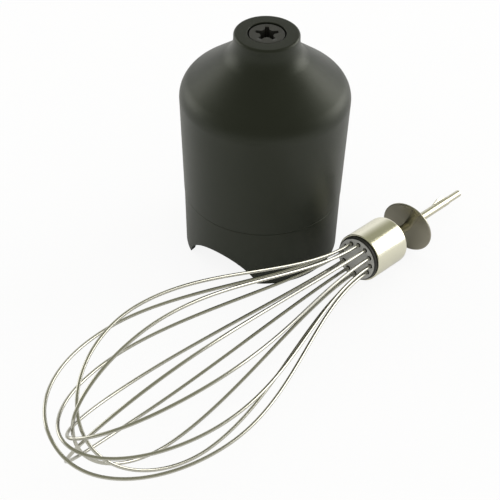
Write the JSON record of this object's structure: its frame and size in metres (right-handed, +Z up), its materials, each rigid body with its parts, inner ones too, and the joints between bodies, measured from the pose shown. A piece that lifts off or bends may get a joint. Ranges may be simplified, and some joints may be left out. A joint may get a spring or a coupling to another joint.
{
  "type": "immersion blender whisk attachment",
  "caption": "Whisk attachment of a stick blender: bell-shaped black gearbox with planetary reduction and star socket, and a steel balloon whisk with shaft and splash disc beside it.",
  "frame": {"origin": "centre of the gearbox's motor collar at its mouth, on the surface that gearbox and whisk rest on", "axes": "+Z up the gearbox towards its star socket, +X along the lying whisk towards its shaft's tip as seen from above"},
  "size_m": [0.2205, 0.1067, 0.0935],
  "materials": {
    "black_plastic": "fine matt texture",
    "socket_plastic": "smooth moulded",
    "gear_plastic": "moulded acetal",
    "carrier_plastic": "glass-filled nylon",
    "polished_steel": "polished stainless",
    "wire_steel": "drawn stainless wire",
    "shaft_steel": "ground stainless",
    "plain_steel": "zinc plated",
    "bronze": "sintered bronze",
    "plug_plastic": "grey moulded plug",
    "seal_rubber": "soft rubber"
  },
  "bodies": {
    "gearbox": {"housing": "black_plastic", "motor_collar": "black_plastic", "ring_gear": "gear_plastic", "gear_cover": "carrier_plastic", "cover_screws": "plain_steel", "input_bush": "bronze", "neck_bush": "bronze", "neck_seal": "seal_rubber", "thrust_washer": "plain_steel", "wire_plug": "plug_plastic", "ferrule": "polished_steel", "splash_disc": "polished_steel", "whisk_shaft": "shaft_steel", "wire_loop_1": "wire_steel", "wire_loop_2": "wire_steel", "wire_loop_3": "wire_steel", "wire_loop_4": "wire_steel", "wire_loop_5": "wire_steel", "wire_loop_6": "wire_steel"},
    "output": {"planet_carrier": "carrier_plastic", "output_socket": "socket_plastic", "grip_ring": "seal_rubber", "planet_pin_1": "plain_steel", "planet_pin_2": "plain_steel", "planet_pin_3": "plain_steel"},
    "input": {"sun_gear": "plain_steel", "drive_coupling": "carrier_plastic"},
    "planet_1": {"planet_gear_1": "gear_plastic"},
    "planet_2": {"planet_gear_2": "gear_plastic"},
    "planet_3": {"planet_gear_3": "gear_plastic"}
  },
  "joints": [
    {"name": "output_spin", "type": "hinge", "parent": "gearbox", "child": "output", "pos_m": [0, 0, 0.051], "axis": [0, 0, 1], "continuous": true},
    {"name": "input_spin", "type": "hinge", "parent": "gearbox", "child": "input", "pos_m": [0, 0, 0.0368], "axis": [0, 0, 1], "continuous": true},
    {"name": "planet_1_spin", "type": "hinge", "parent": "output", "child": "planet_1", "pos_m": [0, 0.012, 0.0385], "axis": [0, 0, 1], "continuous": true},
    {"name": "planet_2_spin", "type": "hinge", "parent": "output", "child": "planet_2", "pos_m": [-0.01039, -0.006, 0.0385], "axis": [0, 0, 1], "continuous": true},
    {"name": "planet_3_spin", "type": "hinge", "parent": "output", "child": "planet_3", "pos_m": [0.01039, -0.006, 0.0385], "axis": [0, 0, 1], "continuous": true}
  ],
  "couplings": [
    {"joint": "input_spin", "follows": "output_spin", "ratio": 5},
    {"joint": "planet_1_spin", "follows": "output_spin", "ratio": -2.6667},
    {"joint": "planet_2_spin", "follows": "output_spin", "ratio": -2.6667},
    {"joint": "planet_3_spin", "follows": "output_spin", "ratio": -2.6667}
  ]
}
